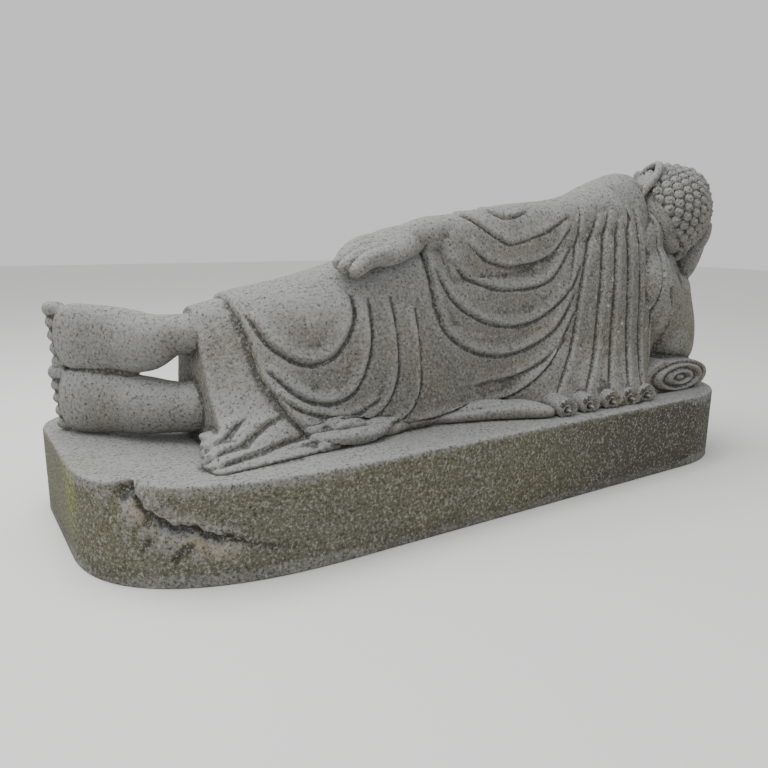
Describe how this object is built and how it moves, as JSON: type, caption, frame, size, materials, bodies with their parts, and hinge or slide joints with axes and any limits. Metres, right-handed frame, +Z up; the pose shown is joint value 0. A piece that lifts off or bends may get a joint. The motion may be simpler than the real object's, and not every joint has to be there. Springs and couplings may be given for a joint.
{
  "type": "reclining buddha statue",
  "caption": "Weathered stone statue of a reclining buddha in a draped robe, head propped on its hand, on a rounded plinth.",
  "frame": {"origin": "centre of the plinth's underside, which is also the middle of the bounding box's bottom", "axes": "+X along the figure from its feet to its head, +Y out of its chest (its back faces -Y), +Z up"},
  "size_m": [2.45, 1, 1.1418],
  "materials": {
    "stone": "rough weathered stone"
  },
  "bodies": {
    "root": {"reclining_buddha": "stone"}
  },
  "joints": []
}
